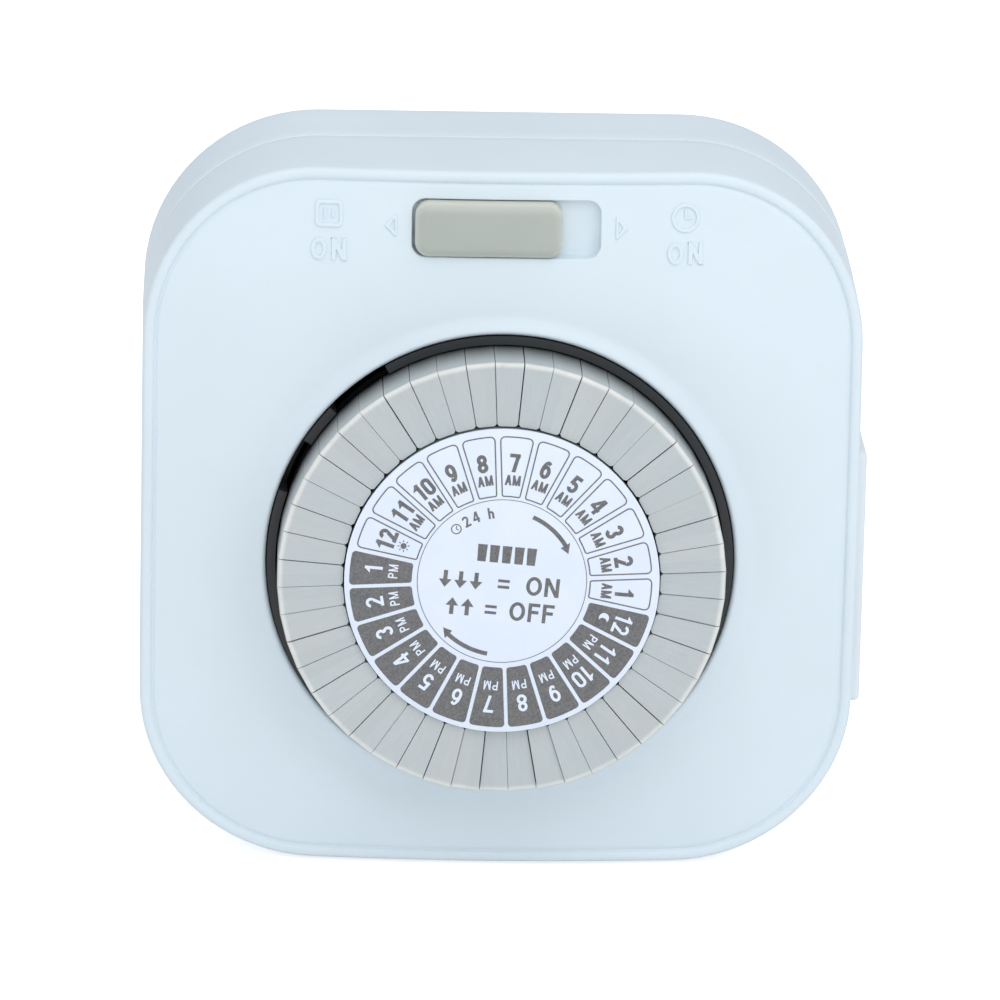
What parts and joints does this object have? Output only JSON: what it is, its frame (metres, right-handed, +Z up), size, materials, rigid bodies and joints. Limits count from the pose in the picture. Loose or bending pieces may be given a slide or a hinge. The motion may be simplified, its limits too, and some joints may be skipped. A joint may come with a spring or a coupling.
{
  "type": "plug in timer switch",
  "caption": "Plug-in mechanical 24 hour timer switch with push pins round a turning dial, an override slider on the front, a switched outlet on the side and plug blades at the back.",
  "frame": {"origin": "middle of the plug on the back face of the case, where it meets the wall plate", "axes": "+Y points into the wall along the blades, +Z is up and +X is to the right seen from the front; the dial faces -Y"},
  "size_m": [0.0718, 0.0518, 0.0706],
  "materials": {
    "case": "pale blue-white moulded plastic, satin",
    "pins": "light warm grey moulded plastic, fine drawn texture",
    "knob": "sage grey moulded plastic, fine texture",
    "label": "printed film label, white with brown-grey print",
    "charcoal": "charcoal moulded plastic",
    "natural": "natural acetal gears",
    "brass": "stamped brass, slightly brushed",
    "blade_metal": "nickel plated brass, brushed",
    "screw_steel": "zinc plated steel",
    "motor_steel": "drawn steel can, zinc plated",
    "copper_wire": "enamelled copper winding",
    "wire_black": "black wire insulation",
    "wire_white": "white wire insulation",
    "wire_red": "red lead insulation"
  },
  "bodies": {
    "root": {"rear_cover": "case", "front_cover": "case", "cover_screws": "screw_steel", "chassis_plate": "charcoal", "dial_collar": "charcoal", "chassis_screws": "screw_steel", "motor_can": "motor_steel", "motor_coil": "copper_wire", "motor_end_plate": "motor_steel", "idler_arbor": "screw_steel", "lever_pin": "screw_steel", "fixed_contact": "brass", "line_blade": "blade_metal", "neutral_blade": "blade_metal", "outlet_insert": "case", "outlet_line_clip": "brass", "outlet_neutral_clip": "brass", "line_wire": "wire_black", "load_wire": "wire_black", "neutral_wire": "wire_white", "motor_leads": "wire_red"},
    "dial": {"dial_wheel": "pins", "dial_hub": "pins", "dial_label": "label", "dial_screw": "screw_steel", "clutch_washer": "brass"},
    "motor_shaft": {"motor_pinion": "natural"},
    "idler": {"idler_gear": "natural"},
    "slider": {"slide_knob": "knob", "slide_plate": "natural"},
    "lever": {"switch_lever": "charcoal", "moving_contact": "brass"},
    "pins_1am": {"pins_1am": "pins"},
    "pins_2am": {"pins_2am": "pins"},
    "pins_3am": {"pins_3am": "pins"},
    "pins_4am": {"pins_4am": "pins"},
    "pins_5am": {"pins_5am": "pins"},
    "pins_6am": {"pins_6am": "pins"},
    "pins_7am": {"pins_7am": "pins"},
    "pins_8am": {"pins_8am": "pins"},
    "pins_9am": {"pins_9am": "pins"},
    "pins_10am": {"pins_10am": "pins"},
    "pins_11am": {"pins_11am": "pins"},
    "pins_12noon": {"pins_12noon": "pins"},
    "pins_1pm": {"pins_1pm": "pins"},
    "pins_2pm": {"pins_2pm": "pins"},
    "pins_3pm": {"pins_3pm": "pins"},
    "pins_4pm": {"pins_4pm": "pins"},
    "pins_5pm": {"pins_5pm": "pins"},
    "pins_6pm": {"pins_6pm": "pins"},
    "pins_7pm": {"pins_7pm": "pins"},
    "pins_8pm": {"pins_8pm": "pins"},
    "pins_9pm": {"pins_9pm": "pins"},
    "pins_10pm": {"pins_10pm": "pins"},
    "pins_11pm": {"pins_11pm": "pins"},
    "pins_12night": {"pins_12night": "pins"}
  },
  "joints": [
    {"name": "dial_turn", "type": "hinge", "parent": "root", "child": "dial", "pos_m": [0, -0.02, -0.0174], "axis": [0, 1, 0], "continuous": true},
    {"name": "idler_turn", "type": "hinge", "parent": "root", "child": "idler", "pos_m": [-0.01285, -0.017, -0.02306], "axis": [0, 1, 0], "continuous": true},
    {"name": "motor_turn", "type": "hinge", "parent": "root", "child": "motor_shaft", "pos_m": [-0.006, -0.017, -0.028], "axis": [0, 1, 0], "continuous": true},
    {"name": "override_slide", "type": "slide", "parent": "root", "child": "slider", "axis": [-1, 0, 0], "range_m": [-0.0036, 0]},
    {"name": "lever_rock", "type": "hinge", "parent": "root", "child": "lever", "pos_m": [-0.01827, -0.01825, 0.00512], "axis": [0.7766, 0, 0.63], "range_deg": [-15, 0]},
    {"name": "pins_1am_push", "type": "slide", "parent": "dial", "child": "pins_1am", "axis": [0, 1, 0], "range_m": [0, 0.0025]},
    {"name": "pins_2am_push", "type": "slide", "parent": "dial", "child": "pins_2am", "axis": [0, 1, 0], "range_m": [0, 0.0025]},
    {"name": "pins_3am_push", "type": "slide", "parent": "dial", "child": "pins_3am", "axis": [0, 1, 0], "range_m": [0, 0.0025]},
    {"name": "pins_4am_push", "type": "slide", "parent": "dial", "child": "pins_4am", "axis": [0, 1, 0], "range_m": [0, 0.0025]},
    {"name": "pins_5am_push", "type": "slide", "parent": "dial", "child": "pins_5am", "axis": [0, 1, 0], "range_m": [0, 0.0025]},
    {"name": "pins_6am_push", "type": "slide", "parent": "dial", "child": "pins_6am", "axis": [0, 1, 0], "range_m": [0, 0.0025]},
    {"name": "pins_7am_push", "type": "slide", "parent": "dial", "child": "pins_7am", "axis": [0, 1, 0], "range_m": [0, 0.0025]},
    {"name": "pins_8am_push", "type": "slide", "parent": "dial", "child": "pins_8am", "axis": [0, 1, 0], "range_m": [0, 0.0025]},
    {"name": "pins_9am_push", "type": "slide", "parent": "dial", "child": "pins_9am", "axis": [0, 1, 0], "range_m": [0, 0.0025]},
    {"name": "pins_10am_push", "type": "slide", "parent": "dial", "child": "pins_10am", "axis": [0, 1, 0], "range_m": [0, 0.0025]},
    {"name": "pins_11am_push", "type": "slide", "parent": "dial", "child": "pins_11am", "axis": [0, 1, 0], "range_m": [0, 0.0025]},
    {"name": "pins_12noon_push", "type": "slide", "parent": "dial", "child": "pins_12noon", "axis": [0, 1, 0], "range_m": [0, 0.0025]},
    {"name": "pins_1pm_push", "type": "slide", "parent": "dial", "child": "pins_1pm", "axis": [0, 1, 0], "range_m": [0, 0.0025]},
    {"name": "pins_2pm_push", "type": "slide", "parent": "dial", "child": "pins_2pm", "axis": [0, 1, 0], "range_m": [0, 0.0025]},
    {"name": "pins_3pm_push", "type": "slide", "parent": "dial", "child": "pins_3pm", "axis": [0, 1, 0], "range_m": [0, 0.0025]},
    {"name": "pins_4pm_push", "type": "slide", "parent": "dial", "child": "pins_4pm", "axis": [0, 1, 0], "range_m": [0, 0.0025]},
    {"name": "pins_5pm_push", "type": "slide", "parent": "dial", "child": "pins_5pm", "axis": [0, 1, 0], "range_m": [0, 0.0025]},
    {"name": "pins_6pm_push", "type": "slide", "parent": "dial", "child": "pins_6pm", "axis": [0, 1, 0], "range_m": [0, 0.0025]},
    {"name": "pins_7pm_push", "type": "slide", "parent": "dial", "child": "pins_7pm", "axis": [0, 1, 0], "range_m": [0, 0.0025]},
    {"name": "pins_8pm_push", "type": "slide", "parent": "dial", "child": "pins_8pm", "axis": [0, 1, 0], "range_m": [0, 0.0025]},
    {"name": "pins_9pm_push", "type": "slide", "parent": "dial", "child": "pins_9pm", "axis": [0, 1, 0], "range_m": [0, 0.0025]},
    {"name": "pins_10pm_push", "type": "slide", "parent": "dial", "child": "pins_10pm", "axis": [0, 1, 0], "range_m": [0, 0.0025]},
    {"name": "pins_11pm_push", "type": "slide", "parent": "dial", "child": "pins_11pm", "axis": [0, 1, 0], "range_m": [0, 0.0025]},
    {"name": "pins_12night_push", "type": "slide", "parent": "dial", "child": "pins_12night", "axis": [0, 1, 0], "range_m": [0, 0.0025]}
  ],
  "couplings": [
    {"joint": "idler_turn", "follows": "dial_turn", "ratio": -4.6},
    {"joint": "motor_turn", "follows": "dial_turn", "ratio": 14.72},
    {"joint": "lever_rock", "follows": "override_slide", "rad_per_m": 72.721}
  ]
}
